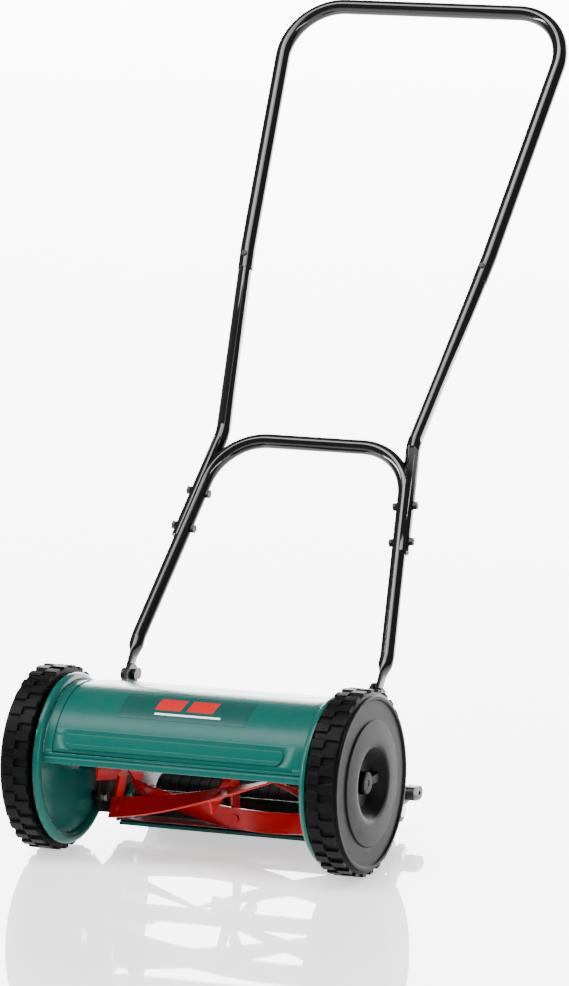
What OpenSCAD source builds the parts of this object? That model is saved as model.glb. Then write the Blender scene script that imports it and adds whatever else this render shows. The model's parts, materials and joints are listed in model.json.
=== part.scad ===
// Hand-pushed reel mower: two geared wheels, a five-blade helical reel, a bed
// knife under a pressed cover, an adjustable rear roller and a folding tube
// handle. X runs along the axles, +Y points back towards the user, +Z is up.
// The ground is Z = 0 and the origin is the middle of the whole machine's
// footprint. Most pieces are drawn about the wheel axle and then set in place.

/* [Wheels] */
// Diameter over the tread blocks
wheel_d = 224; // [180:2:270]
// Overall width across both wheel faces
overall_w = 445; // [425:1:520]
// Width of the block tread
tread_w = 33; // [26:1:36]
// Height of the tread blocks
lug_h = 3.5; // [2:0.5:6]
// Tread blocks in each of the two rows
lug_count = 32; // [20:1:44]
// Diameter of the outer face's raised edge
face_d = 210; // [170:2:210]
// Diameter of the dished recess round the hub
recess_d = 86; // [70:2:110]
// Depth of that recess
recess_depth = 18; // [8:1:18]
// Diameter of the hub's centre cap
cap_d = 28; // [26:1:34]
// Diameter of the stub axles
axle_d = 16; // [12:1:18]

/* [Drive] */
// Tooth size of the wheel gears
gear_module = 3.2; // [2.6:0.1:3.2]
// Teeth inside each wheel's ring
ring_teeth = 60; // [56:1:60]
// Teeth on each reel pinion
pinion_teeth = 10; // [9:1:12]
// Face width of the teeth
gear_w = 12; // [8:1:14]
// How far below the axle the reel's centre hangs, in degrees
reel_drop = 13; // [5:1:20]

/* [Reel] */
// Diameter over the blade edges
reel_d = 146; // [120:1:150]
// Cutting width
reel_len = 300; // [260:5:302]
// Blades round the reel
blade_count = 5; // [5:1:5]
// Width of each blade strip
blade_w = 26; // [18:1:28]
// Thickness of each blade strip
blade_t = 3; // [2:0.5:4]
// Twist of a blade from end to end, in degrees
blade_twist = 86; // [60:2:110]
// Diameter of the reel tube
reel_tube_d = 20; // [18:1:26]
// Diameter of the reel's bearing journals
journal_d = 16; // [12:1:16]
// Thickness of the pressed spiders
spider_t = 3; // [2:0.5:4]

/* [Body] */
// Diameter of the green side discs
disc_d = 208; // [180:2:208]
// Thickness of the side disc sheet
disc_t = 2; // [1.5:0.5:3]
// Outer radius of the curved cover
cover_r = 94; // [80:1:94]
// Thickness of the cover sheet
cover_t = 1.6; // [1:0.2:2.4]
// Depth of the folded lip along the cover's front
lip_h = 9; // [6:1:14]
// Thickness of the black side frames
frame_t = 4; // [3:0.5:5]
// Thickness of the bed knife
knife_t = 3; // [2:0.5:4]
// Width of the bed knife, front to back
knife_w = 26; // [20:1:30]
// Gap between the blade edges and the bed knife
knife_gap = 0.3; // [0.2:0.1:0.6]

/* [Roller] */
// Diameter over the roller's ribs
roller_d = 56; // [44:1:62]
// Length of the roller
roller_len = 312; // [280:2:320]
// Spacing of the ribs
rib_pitch = 13.4; // [9:0.2:20]
// Distance of the roller behind the wheel axle
roller_y = 205; // [198:1:225]
// Thickness of the roller arms
arm_t = 3.5; // [3:0.5:5]
// Diameter of the roller's axle
roller_axle_d = 10; // [8:1:12]

/* [Handle] */
// Outer diameter of the lower and middle tubes
tube_d = 18; // [16:0.5:19]
// Outer diameter of the top tube
grip_d = 19; // [18.5:0.5:22]
// Wall thickness of all handle tubes
tube_wall = 1.2; // [1:0.1:1.4]
// Lean of the handle from upright, in degrees
lean = 38; // [25:1:45]
// Distance along the handle from its pivot to the top bar
handle_len = 957; // [880:1:1100]
// Distance along the handle from its pivot to the lower crossbar
brace_at = 331; // [300:1:360]
// Half width of the top loop where its corners begin
grip_half_w = 191; // [160:1:210]
// Distance along the handle to the sleeve joints
sleeve_at = 570; // [500:1:620]

/* [Hidden] */
$fn = 64;

// Fits
run_fit = 0.05;      // radial room of a shaft in its own bearing
hole_fit = 0.15;     // radial room of a bolt in its hole
part_gap = 0.3;      // room between sheet parts that lie side by side
eps = 0.5;           // how far a cutter runs past a face

// Colours
green = [0.00, 0.48, 0.44];
red = [0.85, 0.09, 0.10];
black_plastic = [0.09, 0.10, 0.10];
black_paint = [0.03, 0.03, 0.03];
steel = [0.62, 0.62, 0.63];
dark_steel = [0.20, 0.20, 0.21];

// Wheel stations along X, from the middle outwards
wheel_r = wheel_d / 2;
face_x = overall_w / 2;
tread_x1 = face_x - 6.5;
tread_x0 = tread_x1 - tread_w;
rim_r = wheel_r - lug_h;
rim_wall = 5.5;
rim_in_r = rim_r - rim_wall;
face_wall = 3;
axle_r = axle_d / 2;
hub_r = axle_r + 6;
hub_x0 = tread_x0 + 2;
floor_x = face_x - recess_depth;
recess_r = recess_d / 2;
recess_floor_r = recess_r - 15;
face_r = face_d / 2;
step_r = (face_r + recess_r) / 2 + 1;
cap_r = cap_d / 2;
cap_h = recess_depth / 2 + 2;
cap_wall = 2.4;
clip_r = cap_r - cap_wall - 0.8;
clip_t = 1.2;
gap_share = 0.54;
axle_end_x = floor_x + cap_h - cap_wall - 0.8;

// Side disc and frame stations along X
disc_x = tread_x0 - 5;
bead_h = 7;
bead_r = 7;
disc_r = disc_d / 2;
bead_mid_r = disc_r - bead_r;
frame_x = disc_x - disc_t - bead_h - 5;
frame_in_x = frame_x - frame_t;

// Drive
gear_offset = gear_module * (ring_teeth - pinion_teeth) / 2;
reel_y = gear_offset * cos(reel_drop);
reel_z = -gear_offset * sin(reel_drop);
pressure = 25;
tip_depth = 0.8;
ring_tip_depth = 0.6;
root_depth = 1.05;
backlash = 0.5;
gear_x0 = tread_x0 + 3;
flank_steps = 4;

// Reel
reel_r = reel_d / 2;
journal_r = journal_d / 2;
reel_half = reel_len / 2;
blade_start = 28;
rivet_r = 2.5;
tab_w = 16;
tab_len = 15;
tab_gap = 0.7;
arm_w = 20;
spider_hub_r = 20;
spider_xs = [-reel_half + spider_t + 1, 0, reel_half - 1];

// Cover
lip_angle = 164.5;
flat_angle = 79;
cover_half = disc_x - disc_t - bead_h - part_gap;
cover_rear_y = 110;
end_band_w = 11;
panel_low = 159;
panel_high = 145;
panel_half = 143;
panel_h = 1.6;
label_low = 131;
label_high = 104;
label_half = 84;
label_t = 0.3;

// Bed knife and its carrier, under the reel
knife_z = reel_z - reel_r - knife_gap;
carrier_t = 2.5;
carrier_half = reel_half + 1;
carrier_y0 = reel_y - 3;
carrier_arc_r = reel_r + 8.5;
carrier_arc_low = asin((reel_r + knife_gap + knife_t + carrier_t * 0.7) / (carrier_arc_r + carrier_t));
carrier_arc_high = 40;
lug_w = 20;

// Roller and its arms
roller_r = roller_d / 2;
roller_z = roller_r - wheel_r;
roller_half = roller_len / 2;
roller_axle_r = roller_axle_d / 2;
rib_h = 1.5;
arm_pivot_y = 158;
arm_pivot_z = -46;
arm_x0 = frame_x + 1;
arm_bolt_r = 5;
tail_end_y = roller_y + 40;
tail_end_z = roller_z + 16;
tail_lug_w = 14;

// Handle
pivot_y = 143;
pivot_z = 74;
pivot_r = 4;
foot_t = 4.6;
foot_x = frame_x + 0.5 + foot_t / 2;
foot_w = 21;
foot_len = 40;
stop_r = 4;
stop_out = foot_w / 2 + stop_r + 0.1;
stop_y = pivot_y + stop_out * cos(lean) + 9 * sin(lean);
stop_z = pivot_z - stop_out * sin(lean) + 9 * cos(lean);
tube_r = tube_d / 2;
grip_r = grip_d / 2;
leg_bend_at = 51;
leg_splay = 0.147;
brace_bend = 72;
grip_bend = 70;
nest_offset = 4.2;
nest_end_at = 191;
nest_bend_at = 338;
mid_splay = 0.133;
insert_len = 55;
top_splay = 0.0906;
screw_at = sleeve_at + 18;
joint_bolt_at = [205, 254];
joint_bolt_r = 3;
brace_x = foot_x - leg_splay * (brace_at - leg_bend_at);
sleeve_x = nest_x(nest_bend_at) + mid_splay * (sleeve_at - nest_bend_at);
insert_r = grip_r - tube_wall - hole_fit;
top_bend_at = sleeve_at + 32;
top_bend_x = sleeve_x + mid_splay * (top_bend_at - sleeve_at);
grip_top_x = top_bend_x + top_splay * (handle_len - top_bend_at);

// Where the machine stands: the axle sits one wheel radius up, and the whole
// footprint, from the wheels' front to the handle's back, is centred on Y = 0
handle_back = pivot_y + handle_len * sin(lean) + grip_r;
axle_y = -(handle_back - wheel_r) / 2;
axle_z = wheel_r;

// Half width of the lower leg's centre line at a distance up the handle
function leg_x(s) = foot_x - leg_splay * (s - leg_bend_at);
// Half width of the middle tube where it nests on the leg
function nest_x(s) = leg_x(s) + nest_offset;

// ---- placing ----

// Sets what is drawn about the wheel axle at its place over the ground
module at_axle() {
    translate([0, axle_y, axle_z]) children();
}

// Turns a drawing in (y, z) with height along x into place
module along_x(x) {
    translate([x, 0, 0]) rotate([90, 0, 90]) children();
}

// Draws on the right for side 1 and mirrors to the left for side -1
module on_side(side) {
    if (side > 0) children();
    else mirror([1, 0, 0]) children();
}

// Sets what is drawn about the reel's centre
module at_reel() {
    translate([0, reel_y, reel_z]) children();
}

// The handle's own plane: x across, z up along the tubes from the pivot
module in_handle() {
    translate([0, pivot_y, pivot_z]) rotate([-lean, 0, 0]) children();
}

// ---- shared shapes ----

// Round bar along X from x0 to x1 at (y, z)
module x_bar(x0, x1, r, y = 0, z = 0) {
    translate([x0, y, z]) rotate([0, 90, 0]) cylinder(h = x1 - x0, r = r);
}

// Hexagon bar along X from x0 to x1 at (y, z), r to its corners
module x_hex(x0, x1, r, y = 0, z = 0) {
    translate([x0, y, z]) rotate([0, 90, 0]) cylinder(h = x1 - x0, r = r, $fn = 6);
}

// Ring sector about the X axis, angles from +Y towards +Z
module x_arc(r0, r1, a0, a1, x0, x1) {
    along_x(x0) rotate([0, 0, a0]) rotate_extrude(angle = a1 - a0)
        translate([r0, 0]) square([r1 - r0, x1 - x0]);
}

// Straight edges sit a hair inside the round ends they meet
edge_ease = 0.04;

// Rounded bar in the plane between two points
module link_2d(a, b, r) {
    d = b - a;
    translate(a) circle(r);
    translate(b) circle(r);
    translate(a) rotate(atan2(d[1], d[0])) translate([0, -r + edge_ease])
        square([norm(d), 2 * (r - edge_ease)]);
}

function unit(v) = v / norm(v);
function turn_at(pts, i) =
    let (a = unit(pts[i] - pts[i - 1]), b = unit(pts[i + 1] - pts[i]))
    atan2(a[0] * b[1] - a[1] * b[0], a[0] * b[0] + a[1] * b[1]);
function cut_at(pts, bends, i) =
    i == 0 || i == len(pts) - 1 ? 0 : bends[i] * tan(abs(turn_at(pts, i)) / 2);

// Each bend is a hair thicker than the straights, which run a little way into it
bend_ease = 0.04;
bend_lap = 0.5;

// Round bar along a bent line in the x-z plane, with a bend radius per corner
module bent_bar(pts, bends, r) {
    rotate([90, 0, 0]) {
        for (i = [0 : len(pts) - 2]) {
            d = unit(pts[i + 1] - pts[i]);
            from = pts[i] + d * cut_at(pts, bends, i);
            to = pts[i + 1] - d * cut_at(pts, bends, i + 1);
            lap_0 = i == 0 ? 0 : bend_lap;
            lap_1 = i == len(pts) - 2 ? 0 : bend_lap;
            translate(from - d * lap_0) rotate([0, 0, atan2(d[1], d[0])]) rotate([0, 90, 0])
                cylinder(h = norm(to - from) + lap_0 + lap_1, r = r);
        }
        for (i = [1 : len(pts) - 2]) {
            turn = turn_at(pts, i);
            d_in = unit(pts[i] - pts[i - 1]);
            d_out = unit(pts[i + 1] - pts[i]);
            middle = pts[i] + unit(d_out - d_in) * bends[i] / cos(turn / 2);
            first = turn > 0 ? pts[i] - d_in * cut_at(pts, bends, i)
                             : pts[i] + d_out * cut_at(pts, bends, i);
            from_middle = first - middle;
            translate(middle) rotate([0, 0, atan2(from_middle[1], from_middle[0])])
                rotate_extrude(angle = abs(turn)) translate([bends[i], 0]) circle(r + bend_ease);
        }
    }
}

function longer(pts, by) =
    let (n = len(pts))
    [for (i = [0 : n - 1])
        i == 0 ? pts[0] - unit(pts[1] - pts[0]) * by :
        i == n - 1 ? pts[i] + unit(pts[i] - pts[i - 1]) * by : pts[i]];

// Tube along a bent line, open at both ends
module bent_tube(pts, bends, r, wall) {
    difference() {
        bent_bar(pts, bends, r);
        bent_bar(longer(pts, eps), bends, r - wall);
    }
}

// Hexagon nut with its hole, along X from x0 to x1
module x_nut(x0, x1, r, hole, y = 0, z = 0) {
    difference() {
        x_hex(x0, x1, r, y, z);
        x_bar(x0 - eps, x1 + eps, hole, y, z);
    }
}

// ---- wheels ----

wheel_section = [
    [axle_r + run_fit, hub_x0],
    [hub_r, hub_x0],
    [hub_r, floor_x - face_wall],
    [recess_floor_r - 1, floor_x - face_wall],
    [recess_r - 2.5, face_x - 2 - face_wall],
    [step_r, face_x - 2.5 - face_wall],
    [rim_in_r, face_x - 5 - face_wall],
    [rim_in_r, tread_x0],
    [wheel_r, tread_x0],
    [wheel_r, tread_x1],
    [face_r, tread_x1 + 1.5],
    [face_r, face_x - 3],
    [face_r - 1.2, face_x - 1.8],
    [face_r - 5, face_x - 1.8],
    [face_r - 6.5, face_x - 4],
    [step_r + 1.4, face_x - 3.6],
    [step_r, face_x - 1.5],
    [recess_r + 2.5, face_x],
    [recess_r, face_x - 0.8],
    [recess_floor_r + 1.5, floor_x],
    [axle_r + run_fit, floor_x]
];

// The gaps between the blocks of one row
module tread_gaps(x0, x1, phase) {
    pitch = 360 / lug_count;
    for (i = [0 : lug_count - 1])
        along_x(x0) rotate([0, 0, pitch * (i + phase)])
            rotate_extrude(angle = pitch * gap_share) translate([rim_r, 0])
                square([lug_h + 2, x1 - x0]);
}

module wheel(side) {
    middle = (tread_x0 + tread_x1) / 2;
    color(black_plastic) at_axle() on_side(side) difference() {
        along_x(0) rotate_extrude() polygon(wheel_section);
        tread_gaps(tread_x0 - 1, middle + 0.2, 0.7);
        tread_gaps(middle - 0.2, tread_x1 + 1, 0.2);
    }
    // rib across the recess, from the cap towards the rear
    color(black_plastic) at_axle() on_side(side)
        translate([floor_x - 1.5, cap_r + 0.5, -5]) cube([cap_h - 0.5, recess_r - cap_r - 4.5, 10]);
}

module hub_cap(side) {
    color(black_plastic) at_axle() on_side(side) difference() {
        along_x(floor_x) rotate_extrude() polygon([
            [0, cap_h - cap_wall], [cap_r - cap_wall, cap_h - cap_wall],
            [cap_r - cap_wall, 0], [cap_r, 0], [cap_r, cap_h - 1.5],
            [cap_r - 1.5, cap_h], [4, cap_h], [3.5, cap_h - 0.8], [0, cap_h - 0.8]
        ]);
    }
}

module stub_axle(side) {
    color(steel) at_axle() on_side(side) difference() {
        union() {
            x_bar(disc_x - disc_t - 11, axle_end_x, axle_r);
            x_bar(disc_x, disc_x + 3, axle_r + 7);
        }
        x_arc(axle_r - 1, axle_r + eps, 0, 360, floor_x + 1, floor_x + 1 + clip_t);
    }
}

module axle_nuts() {
    color(steel) at_axle() for (side = [-1, 1]) on_side(side)
        x_nut(disc_x - disc_t - 9, disc_x - disc_t, axle_r + 5.5, axle_r);
}

module wheel_clips() {
    color(steel) at_axle() for (side = [-1, 1]) on_side(side)
        x_arc(axle_r - 1, clip_r, 115, 425, floor_x + 1, floor_x + 1 + clip_t);
}

// ---- gears ----

function involute(a) = tan(a) - a * PI / 180;
// Half angle of a tooth at radius r, in degrees, for a gear of z teeth
function half_tooth(z, r, ease) =
    let (rp = gear_module * z / 2, rb = rp * cos(pressure), rr = max(r, rb))
    (PI / (2 * z) + involute(pressure) - involute(acos(rb / rr)) + ease / rp) * 180 / PI;

function tooth_points(z, r0, r1, ease) = [
    for (k = [0 : z - 1])
        for (j = [0 : 2 * flank_steps + 1])
            let (
                up = j <= flank_steps,
                step = up ? j : 2 * flank_steps + 1 - j,
                r = r0 + (r1 - r0) * step / flank_steps,
                a = 360 * k / z + (up ? -1 : 1) * half_tooth(z, r, ease)
            )
            [r * cos(a), r * sin(a)]
];

module pinion(side) {
    rp = gear_module * pinion_teeth / 2;
    color(dark_steel) at_axle() on_side(side) at_reel() along_x(gear_x0 + 0.5)
        rotate([0, 0, -reel_drop]) difference() {
            union() {
                linear_extrude(gear_w - 1) polygon(tooth_points(pinion_teeth,
                    rp - gear_module, rp + tip_depth * gear_module, -backlash / 4));
                translate([0, 0, -3]) cylinder(h = 3.5, r = journal_r + 3);
            }
            translate([0, 0, -3 - eps]) cylinder(h = gear_w + 4, r = journal_r);
        }
}

module ring_gear(side) {
    rp = gear_module * ring_teeth / 2;
    color(black_plastic) at_axle() on_side(side) along_x(gear_x0)
        rotate([0, 0, -reel_drop]) difference() {
            cylinder(h = gear_w, r = rim_in_r - 0.05, $fn = 240);
            translate([0, 0, -eps]) linear_extrude(gear_w + 2 * eps)
                polygon(tooth_points(ring_teeth, rp - ring_tip_depth * gear_module,
                    rp + root_depth * gear_module, backlash / 4));
        }
}

// ---- sides, cover and knife ----

// Bolts that tie each black frame to its green disc
frame_bolt_spots = [[57, 36], [57, -60], [disc_r - 25, 14]];

module side_disc(side) {
    x_web = disc_x - disc_t;
    color(green) at_axle() on_side(side) difference() {
        along_x(0) rotate_extrude() {
            translate([0, x_web]) square([bead_mid_r - bead_r + disc_t, disc_t]);
            translate([bead_mid_r, x_web]) intersection() {
                difference() {
                    circle(bead_r);
                    circle(bead_r - disc_t);
                }
                translate([-bead_r, -bead_r]) square([2 * bead_r, bead_r + disc_t]);
            }
        }
        x_bar(x_web - eps, disc_x + eps, axle_r + run_fit);
        x_bar(x_web - eps, disc_x + eps, journal_r + 3, reel_y, reel_z);
        for (p = frame_bolt_spots)
            x_bar(x_web - eps, disc_x + eps, 3 + hole_fit, p[0], p[1]);
    }
}

module side_frame_2d() {
    difference() {
        union() {
            polygon([
                [44, -76], [44, 58], [62, 62], [104, 56], [120, 60], [127, 82],
                [pivot_y, pivot_z + 14], [pivot_y + 14, pivot_z], [150, 24],
                [arm_pivot_y + 15, -14], [arm_pivot_y + 15, arm_pivot_z],
                [arm_pivot_y, arm_pivot_z - 15], [reel_y + 52, reel_z - 74],
                [reel_y + 38, reel_z - 77]
            ]);
            translate([pivot_y, pivot_z]) circle(14);
            link_2d([pivot_y, pivot_z], [stop_y, stop_z], stop_r + 3);
            translate([arm_pivot_y, arm_pivot_z]) circle(15);
        }
        translate([reel_y, reel_z]) circle(14);
        translate([pivot_y, pivot_z]) circle(pivot_r + run_fit);
        translate([arm_pivot_y, arm_pivot_z]) circle(arm_bolt_r + run_fit);
        for (p = frame_bolt_spots) translate(p) circle(3 + hole_fit);
        for (p = carrier_bolt_spots) translate(p) circle(3 + hole_fit);
    }
}

module side_frame(side) {
    color(black_paint) at_axle() on_side(side) {
        along_x(frame_in_x) linear_extrude(frame_t) side_frame_2d();
        x_bar(frame_x - 1, frame_x + foot_t, stop_r, stop_y, stop_z);
        for (p = frame_bolt_spots) difference() {
            x_bar(frame_x, disc_x - disc_t, 6.5, p[0], p[1]);
            x_bar(frame_x - eps, disc_x + eps, 3 + hole_fit, p[0], p[1]);
        }
    }
}

module frame_bolts() {
    color(dark_steel) at_axle() for (side = [-1, 1]) on_side(side)
        for (p = frame_bolt_spots) {
            x_hex(frame_in_x - 4, frame_in_x, 6, p[0], p[1]);
            x_bar(frame_in_x - 0.5, disc_x + 5, 3, p[0], p[1]);
        }
}

module frame_nuts() {
    color(dark_steel) at_axle() for (side = [-1, 1]) on_side(side)
        for (p = frame_bolt_spots) x_nut(disc_x, disc_x + 4, 6, 3, p[0], p[1]);
}

module cover() {
    inner = cover_r - cover_t;
    flat_y = cover_r * cos(flat_angle);
    flat_len = (cover_rear_y - flat_y) / sin(flat_angle);
    panel_mid = (panel_low + panel_high) / 2;
    panel_span = cover_r * (panel_low - panel_high) * PI / 180;
    lip_y = (cover_r + 1.5) * cos(lip_angle);
    lip_z = (cover_r + 1.5) * sin(lip_angle);
    color(green) at_axle() {
        // curved front, and the flat that slopes down over the reel
        x_arc(inner, cover_r, flat_angle, lip_angle, -cover_half, cover_half);
        along_x(-cover_half) rotate([0, 0, flat_angle - 90]) translate([0, inner, 0])
            cube([flat_len, cover_t, 2 * cover_half]);
        // raised band at each end
        for (side = [-1, 1]) on_side(side) {
            x_arc(cover_r - 0.6, cover_r + 1.4, flat_angle - 0.4, lip_angle - 0.3,
                cover_half - end_band_w, cover_half - 0.2);
        }
        // long raised panel with round ends
        intersection() {
            x_arc(inner + 0.5, cover_r + panel_h, panel_high - 2, panel_low + 2,
                -panel_half - 1, panel_half + 1);
            rotate([panel_mid, 0, 0]) translate([0, inner - 2, 0]) rotate([-90, 0, 0])
                linear_extrude(20) link_2d([-panel_half + panel_span / 2, 0],
                    [panel_half - panel_span / 2, 0], panel_span / 2);
        }
        // folded lip: a step and a hem below it
        x_arc(cover_r - eps, cover_r + 2, lip_angle - 1.6, lip_angle, -cover_half, cover_half);
        translate([-cover_half, lip_y, lip_z - lip_h])
            cube([2 * cover_half, 2.4, lip_h + 1]);
        x_bar(-cover_half, cover_half, 2, lip_y + 1.6, lip_z - lip_h);
    }
}

module label_panel() {
    color(green * 0.8) at_axle()
        x_arc(cover_r, cover_r + label_t, label_high, label_low, -label_half, label_half);
}

carrier_bolt_spots = [
    [reel_y + carrier_arc_r * cos(-50) - 8, reel_z + carrier_arc_r * sin(-50) + 8],
    [reel_y + 18, knife_z + 7]
];

module knife_carrier() {
    low_z = knife_z - knife_t - carrier_t;
    arc_y = reel_y + (carrier_arc_r + carrier_t) * cos(carrier_arc_low);
    color(green) at_axle() difference() {
        union() {
            translate([-carrier_half + 0.6, carrier_y0, low_z])
                cube([2 * carrier_half - 1.2, arc_y - carrier_y0 + 2, carrier_t]);
            at_reel() x_arc(carrier_arc_r, carrier_arc_r + carrier_t, -carrier_arc_low,
                -carrier_arc_high, -carrier_half, carrier_half);
            // rolled rear edge
            at_reel() rotate([-carrier_arc_high, 0, 0])
                x_bar(-carrier_half + 1, carrier_half - 1, 2.6, carrier_arc_r + carrier_t / 2, 0.6);
            // stiffening fold under the front edge
            translate([-carrier_half + 0.6, carrier_y0, low_z - 1.5])
                cube([2 * carrier_half - 1.2, carrier_t, 2]);
            // end lugs that bolt to the frames
            for (side = [-1, 1]) on_side(side) {
                translate([carrier_half - 1, reel_y + 9, low_z + 0.2])
                    cube([frame_in_x - carrier_half, lug_w - 2, carrier_t - 0.4]);
                translate([frame_in_x - 3, reel_y + 8, low_z]) cube([3, lug_w, 16]);
                at_reel() x_arc(carrier_arc_r + 0.2, carrier_arc_r + carrier_t - 0.2,
                    -carrier_arc_high - 18, -carrier_arc_high - 2, carrier_half - 1, frame_in_x - 1);
                at_reel() x_arc(carrier_arc_r - 20, carrier_arc_r + 1, -carrier_arc_high - 19,
                    -carrier_arc_high - 1, frame_in_x - 3, frame_in_x);
            }
        }
        for (side = [-1, 1], p = carrier_bolt_spots) on_side(side)
            x_bar(frame_in_x - 5, frame_in_x + eps, 3 + hole_fit, p[0], p[1]);
        for (x = knife_screw_xs) translate([x, reel_y + knife_w / 2, low_z - eps])
            cylinder(h = carrier_t + 2 * eps, r = 2.5 + hole_fit);
    }
}

knife_screw_xs = [-120, -40, 40, 120];

module bed_knife() {
    color(steel) at_axle() difference() {
        translate([-carrier_half, reel_y, knife_z]) rotate([90, 0, 90])
            linear_extrude(2 * carrier_half)
                polygon([[-1, -0.6], [0, 0], [knife_w, 0], [knife_w, -knife_t], [1.5, -knife_t]]);
        for (x = knife_screw_xs) translate([x, reel_y + knife_w / 2, knife_z - knife_t - eps])
            cylinder(h = knife_t + 2 * eps, r = 2.5 + hole_fit);
        for (x = knife_screw_xs) translate([x, reel_y + knife_w / 2, knife_z - 1.6])
            cylinder(h = 3, r = 5);
    }
}

module knife_screws() {
    low_z = knife_z - knife_t - carrier_t;
    color(dark_steel) at_axle() for (x = knife_screw_xs)
        translate([x, reel_y + knife_w / 2, 0]) {
            translate([0, 0, low_z - 4]) cylinder(h = knife_z - low_z + 2.5, r = 2.5);
            translate([0, 0, knife_z - 1.5]) cylinder(h = 1.3, r = 4.8);
            translate([0, 0, low_z - 3.5]) cylinder(h = 3.5, r = 4.6, $fn = 6);
        }
}

module carrier_bolts() {
    color(dark_steel) at_axle() for (side = [-1, 1]) on_side(side)
        for (p = carrier_bolt_spots) {
            x_hex(frame_x, frame_x + 3.5, 5.5, p[0], p[1]);
            x_bar(frame_in_x - 6, frame_x + 0.5, 3, p[0], p[1]);
            x_hex(frame_in_x - 6.5, frame_in_x - 3, 5.5, p[0], p[1]);
        }
}

module reel_bush(side) {
    color(black_plastic) at_axle() on_side(side) at_reel() difference() {
        union() {
            x_bar(frame_in_x, frame_x + 3, 14);
            x_bar(frame_in_x - 3, frame_in_x, 19);
        }
        x_bar(frame_in_x - 4, frame_x + 4, journal_r + run_fit);
    }
}

// ---- reel ----

module reel_shaft() {
    color(red) at_axle() at_reel() {
        x_bar(-frame_in_x + 6, frame_in_x - 6, reel_tube_d / 2);
        x_bar(-gear_x0 - gear_w - 1, gear_x0 + gear_w + 1, journal_r);
    }
}

// Blade angle at a distance x along the reel: zero points straight down
function blade_angle(i, x) =
    -blade_start + 360 * i / blade_count - blade_twist * (x + reel_half) / reel_len;

// Draws at a blade's place and angle at distance x: local x runs along the
// reel, local y is the blade's thickness and local -z points outwards
module at_blade(i, x) {
    translate([x, 0, 0]) rotate([blade_angle(i, x), 0, 0]) children();
}

// Slope of a blade against the reel's axis at its middle radius
blade_mid_r = reel_r - blade_w / 2;
blade_slope = atan(blade_mid_r * blade_twist * PI / 180 / reel_len);

module rivet_bar(i, x, y0, y1, r) {
    at_blade(i, x) translate([0, 0, -blade_mid_r]) rotate([0, 0, -blade_slope])
        translate([0, y0, 0]) rotate([-90, 0, 0]) cylinder(h = y1 - y0, r = r);
}

module blade(i) {
    color(red) at_axle() at_reel() difference() {
        translate([-reel_half, 0, 0]) rotate([0, 90, 0])
            rotate([0, 0, blade_angle(i, -reel_half)])
                linear_extrude(height = reel_len, twist = blade_twist, slices = 30, $fn = 4)
                    translate([reel_r - blade_w, -blade_t / 2]) square([blade_w, blade_t]);
        for (x = rivet_xs) rivet_bar(i, x, -6, 6, rivet_r + hole_fit);
    }
}

rivet_xs = [spider_xs[0] + tab_len / 2, spider_xs[1] + tab_len / 2, spider_xs[2] - spider_t - tab_len / 2];

// A pressed star: one arm behind each blade, with a tab folded along it
module spider(k) {
    x1 = spider_xs[k];
    x0 = x1 - spider_t;
    tab_side = k == 2 ? -1 : 1;
    tab_x = rivet_xs[k];
    back = blade_t / 2 + tab_gap;
    color(red) at_axle() at_reel() difference() {
        union() {
            along_x(x0) linear_extrude(spider_t) {
                circle(spider_hub_r);
                for (i = [0 : blade_count - 1]) rotate(blade_angle(i, (x0 + x1) / 2))
                    translate([back + 0.5, -reel_r + 8]) square([arm_w, reel_r - 20]);
            }
            x_bar(x0 - 4, x1 + 4, reel_tube_d / 2 + 4);
            for (i = [0 : blade_count - 1]) {
                at_blade(i, tab_x) translate([0, 0, -blade_mid_r]) rotate([0, 0, -blade_slope])
                    translate([-tab_len / 2 - (tab_side > 0 ? 4 : 0), back, -tab_w / 2 + 2.2])
                        cube([tab_len + 4, spider_t, tab_w]);
            }
        }
        x_bar(x0 - 5, x1 + 5, reel_tube_d / 2);
        for (i = [0 : blade_count - 1]) rivet_bar(i, tab_x, -2, 10, rivet_r + hole_fit);
    }
}

module blade_rivets() {
    color(red) at_axle() at_reel() for (i = [0 : blade_count - 1], x = rivet_xs) {
        tab_out = blade_t / 2 + tab_gap + spider_t;
        rivet_bar(i, x, -blade_t / 2 - 1.8, tab_out + 1.5, rivet_r);
        rivet_bar(i, x, -blade_t / 2 - 2, -blade_t / 2 - 0.3, 4.4);
        rivet_bar(i, x, tab_out + 0.1, tab_out + 1.8, 4.4);
    }
}

// ---- roller ----

module roller_arm(side) {
    // turned-out lug at the end of the tail
    color(black_paint) at_axle() on_side(side) along_x(arm_x0 + 1) linear_extrude(tail_lug_w)
        difference() {
            link_2d([tail_end_y - 20, tail_end_z + 1], [tail_end_y - 8, tail_end_z], 8.6);
            translate([tail_end_y - 9, tail_end_z]) circle(3);
        }
    color(black_paint) at_axle() on_side(side) along_x(arm_x0) linear_extrude(arm_t)
        difference() {
            union() {
                link_2d([arm_pivot_y, arm_pivot_z], [roller_y, roller_z], 13);
                link_2d([roller_y, roller_z + 12], [tail_end_y - 8, tail_end_z], 9);
                translate([arm_pivot_y, arm_pivot_z]) circle(15);
                translate([roller_y, roller_z]) circle(14);
            }
            translate([arm_pivot_y, arm_pivot_z]) circle(arm_bolt_r + run_fit);
            translate([roller_y, roller_z]) circle(roller_axle_r);
            translate([tail_end_y - 9, tail_end_z]) circle(3);
        }
}

module arm_bolts() {
    x_out = arm_x0 + arm_t + 0.5;
    color(dark_steel) at_axle() for (side = [-1, 1]) on_side(side) {
        x_bar(frame_in_x - 5, x_out + 0.5, arm_bolt_r, arm_pivot_y, arm_pivot_z);
        x_bar(x_out, x_out + 5, 10, arm_pivot_y, arm_pivot_z);
        x_hex(frame_in_x - 6, frame_in_x, 9, arm_pivot_y, arm_pivot_z);
    }
}

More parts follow.
